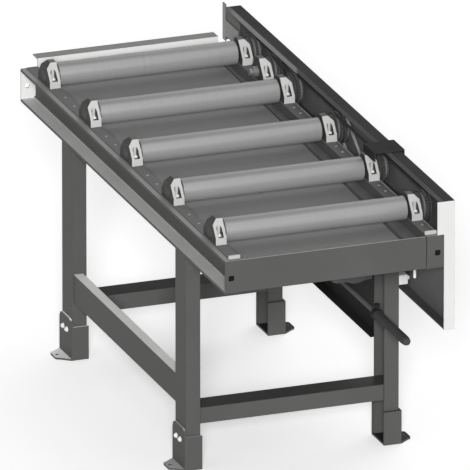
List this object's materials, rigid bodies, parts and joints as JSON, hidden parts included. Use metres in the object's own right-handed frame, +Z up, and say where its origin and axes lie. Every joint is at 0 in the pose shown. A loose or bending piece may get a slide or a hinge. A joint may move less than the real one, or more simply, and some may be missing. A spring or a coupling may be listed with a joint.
{
  "type": "roller conveyor",
  "caption": "Short powered roller conveyor on four channel legs, with bearing blocks, belt drive, side guard and hand lever.",
  "frame": {"origin": "middle of the footprint's box, on the floor", "axes": "+X along the rollers to the drive side, +Y along the conveyor to its rear end, +Z up"},
  "size_m": [0.636, 1.517, 0.743],
  "materials": {
    "frame_paint": "satin paint",
    "dark_paint": "satin paint",
    "deck_steel": "satin paint on sheet",
    "pale_paint": "satin paint",
    "cast_block": "cast and machined",
    "roller_steel": "ground tube",
    "bright_steel": "bright",
    "black_steel": "blackened",
    "belt_rubber": "flat belt",
    "motor_belt_grey": "flat belt",
    "cast_dark": "painted casting",
    "grip_rubber": "moulded grip"
  },
  "bodies": {
    "frame": {"left_rail": "frame_paint", "right_rail": "frame_paint", "mounting_bars": "dark_paint", "front_plate": "frame_paint", "front_end_plate": "frame_paint", "rear_end_plates": "pale_paint", "rear_cross_plate": "pale_paint", "deck_sheet": "deck_steel", "side_deck_sheet": "dark_paint", "deck_joists": "dark_paint", "leg_front_left": "frame_paint", "leg_front_right": "frame_paint", "leg_rear_left": "frame_paint", "leg_rear_right": "frame_paint", "front_stretcher": "frame_paint", "rear_stretcher": "frame_paint", "side_stretcher": "frame_paint", "left_blocks": "cast_block", "right_blocks": "cast_block", "bearing_rings": "bright_steel", "block_screws": "bright_steel", "roller_belts": "belt_rubber", "motor_belt": "motor_belt_grey", "drive_panel": "dark_paint", "gearbox": "cast_dark", "motor": "cast_dark", "guard": "dark_paint", "guard_front_cap": "pale_paint", "guard_rear_plate": "pale_paint", "guard_saddle": "black_steel", "guard_standoffs": "pale_paint", "lever_bracket": "dark_paint"},
    "roller_1": {"roller_tube_1": "roller_steel", "roller_shaft_1": "bright_steel", "pulleys_1": "black_steel"},
    "roller_2": {"roller_tube_2": "roller_steel", "roller_shaft_2": "bright_steel", "pulleys_2": "black_steel"},
    "roller_3": {"roller_tube_3": "roller_steel", "roller_shaft_3": "bright_steel", "pulleys_3": "black_steel"},
    "roller_4": {"roller_tube_4": "roller_steel", "roller_shaft_4": "bright_steel", "pulleys_4": "black_steel"},
    "roller_5": {"roller_tube_5": "roller_steel", "roller_shaft_5": "bright_steel", "pulleys_5": "black_steel"},
    "jack": {"jack_shaft": "bright_steel", "jack_pulleys": "black_steel"},
    "motor_drive": {"motor_pulley": "black_steel"},
    "hand_lever": {"lever_rod": "dark_paint", "lever_grip": "grip_rubber"},
    "adjust_front_left": {"foot_front_left": "frame_paint", "bolts_front_left": "bright_steel"},
    "adjust_front_right": {"foot_front_right": "frame_paint", "bolts_front_right": "bright_steel"},
    "adjust_rear_left": {"foot_rear_left": "frame_paint", "bolts_rear_left": "bright_steel"},
    "adjust_rear_right": {"foot_rear_right": "frame_paint", "bolts_rear_right": "bright_steel"}
  },
  "joints": [
    {"name": "roller_1_spin", "type": "hinge", "parent": "frame", "child": "roller_1", "pos_m": [-0.005, -0.6065, 0.668], "axis": [1, 0, 0], "continuous": true},
    {"name": "roller_2_spin", "type": "hinge", "parent": "frame", "child": "roller_2", "pos_m": [-0.005, -0.3065, 0.668], "axis": [1, 0, 0], "continuous": true},
    {"name": "roller_3_spin", "type": "hinge", "parent": "frame", "child": "roller_3", "pos_m": [-0.005, -0.0065, 0.668], "axis": [1, 0, 0], "continuous": true},
    {"name": "roller_4_spin", "type": "hinge", "parent": "frame", "child": "roller_4", "pos_m": [-0.005, 0.2935, 0.668], "axis": [1, 0, 0], "continuous": true},
    {"name": "roller_5_spin", "type": "hinge", "parent": "frame", "child": "roller_5", "pos_m": [-0.005, 0.5935, 0.668], "axis": [1, 0, 0], "continuous": true},
    {"name": "jack_spin", "type": "hinge", "parent": "frame", "child": "jack", "pos_m": [0.255, 0.4435, 0.668], "axis": [1, 0, 0], "continuous": true},
    {"name": "motor_spin", "type": "hinge", "parent": "frame", "child": "motor_drive", "pos_m": [0.275, -0.2815, 0.486], "axis": [1, 0, 0], "continuous": true},
    {"name": "lever_swing", "type": "hinge", "parent": "frame", "child": "hand_lever", "pos_m": [0.203, -0.1385, 0.359], "axis": [1, 0, 0], "range_deg": [-4, 20]},
    {"name": "foot_front_left_height", "type": "slide", "parent": "frame", "child": "adjust_front_left", "axis": [0, 0, -1], "range_m": [0, 0.04]},
    {"name": "foot_front_right_height", "type": "slide", "parent": "frame", "child": "adjust_front_right", "axis": [0, 0, -1], "range_m": [0, 0.04]},
    {"name": "foot_rear_left_height", "type": "slide", "parent": "frame", "child": "adjust_rear_left", "axis": [0, 0, -1], "range_m": [0, 0.04]},
    {"name": "foot_rear_right_height", "type": "slide", "parent": "frame", "child": "adjust_rear_right", "axis": [0, 0, -1], "range_m": [0, 0.04]}
  ],
  "couplings": [
    {"joint": "roller_1_spin", "follows": "roller_3_spin", "ratio": 1},
    {"joint": "roller_2_spin", "follows": "roller_3_spin", "ratio": 1},
    {"joint": "roller_4_spin", "follows": "roller_3_spin", "ratio": 1},
    {"joint": "roller_5_spin", "follows": "roller_3_spin", "ratio": 1},
    {"joint": "jack_spin", "follows": "roller_3_spin", "ratio": 1},
    {"joint": "motor_spin", "follows": "roller_3_spin", "ratio": 1}
  ]
}
